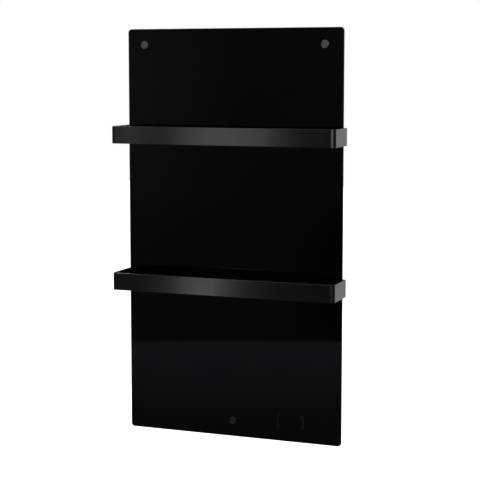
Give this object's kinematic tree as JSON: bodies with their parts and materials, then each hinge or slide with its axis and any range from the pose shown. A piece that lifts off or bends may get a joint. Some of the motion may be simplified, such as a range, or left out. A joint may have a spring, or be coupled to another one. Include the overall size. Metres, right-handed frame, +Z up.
{
  "type": "infrared panel heater",
  "caption": "Wall-hung black glass infrared panel heater with two flat towel rails, a steel rear casing, a rocker switch and a wall rail.",
  "frame": {"origin": "on the wall, at the centre of the wall rail's back face", "axes": "+X to the right as seen from the front, +Y into the wall, +Z up; the glass faces -Y"},
  "size_m": [0.513, 0.13, 0.9],
  "materials": {
    "black_glass": "polished",
    "rail_coat": "satin",
    "cap_metal": "satin",
    "casing_coat": "matte",
    "zinc_steel": "satin",
    "black_steel": "satin",
    "black_plastic": "matte",
    "black_rubber": "matte",
    "clear_nylon": "satin",
    "green_board": "satin",
    "amber_film": "satin",
    "copper": "satin",
    "brown_mica": "matte",
    "bright_foil": "polished",
    "white_wool": "matte",
    "blue_plastic": "gloss",
    "brown_sleeve": "satin",
    "blue_sleeve": "satin",
    "red_sleeve": "satin"
  },
  "bodies": {
    "wall_mount": {"wall_rail": "zinc_steel"},
    "heater": {"glass_panel": "black_glass", "glass_seal": "black_rubber", "glass_cap_top_left": "cap_metal", "cap_bush_top_left": "clear_nylon", "glass_pillar_top_left": "zinc_steel", "pillar_screw_top_left": "black_steel", "glass_cap_top_right": "cap_metal", "cap_bush_top_right": "clear_nylon", "glass_pillar_top_right": "zinc_steel", "pillar_screw_top_right": "black_steel", "glass_cap_bottom": "cap_metal", "cap_bush_bottom": "clear_nylon", "glass_pillar_bottom": "zinc_steel", "pillar_screw_bottom": "black_steel", "rear_casing": "casing_coat", "heating_film": "amber_film", "busbar_left": "copper", "busbar_right": "copper", "mica_sheet": "brown_mica", "reflector_sheet": "bright_foil", "insulation_board": "white_wool", "thermostat_lower": "black_plastic", "thermostat_upper": "black_plastic", "control_box_base": "black_plastic", "control_box_lid": "black_plastic", "main_board": "green_board", "relay": "blue_plastic", "transformer": "copper", "display_board": "green_board", "display_module": "black_plastic", "touch_spring_left": "zinc_steel", "touch_spring_right": "zinc_steel", "terminal_block": "clear_nylon", "cable_gland": "black_plastic", "gland_nut": "black_plastic", "room_sensor": "black_plastic", "earth_screw": "zinc_steel", "switch_housing": "black_plastic", "supply_lead_live": "brown_sleeve", "supply_lead_neutral": "blue_sleeve", "switch_lead": "brown_sleeve", "heater_lead_left": "red_sleeve", "heater_lead_right": "red_sleeve", "upper_towel_rail": "rail_coat", "lower_towel_rail": "rail_coat", "rail_screw_upper_left_a": "black_steel", "rail_screw_upper_left_b": "black_steel", "rail_screw_upper_right_a": "black_steel", "rail_screw_upper_right_b": "black_steel", "rail_screw_lower_left_a": "black_steel", "rail_screw_lower_left_b": "black_steel", "rail_screw_lower_right_a": "black_steel", "rail_screw_lower_right_b": "black_steel", "hanger_rail": "zinc_steel", "hanger_rivet_left": "zinc_steel", "wall_buffer_left": "black_rubber", "hanger_rivet_right": "zinc_steel", "wall_buffer_right": "black_rubber"},
    "power_rocker": {"switch_rocker": "black_plastic"}
  },
  "joints": [
    {"name": "lift_off", "type": "slide", "parent": "wall_mount", "child": "heater", "axis": [0, 0, 1], "range_m": [0, 0.012]},
    {"name": "power_switch", "type": "hinge", "parent": "heater", "child": "power_rocker", "pos_m": [0.2283, -0.03015, -0.66], "axis": [0, -1, 0], "range_deg": [0, 18]}
  ]
}
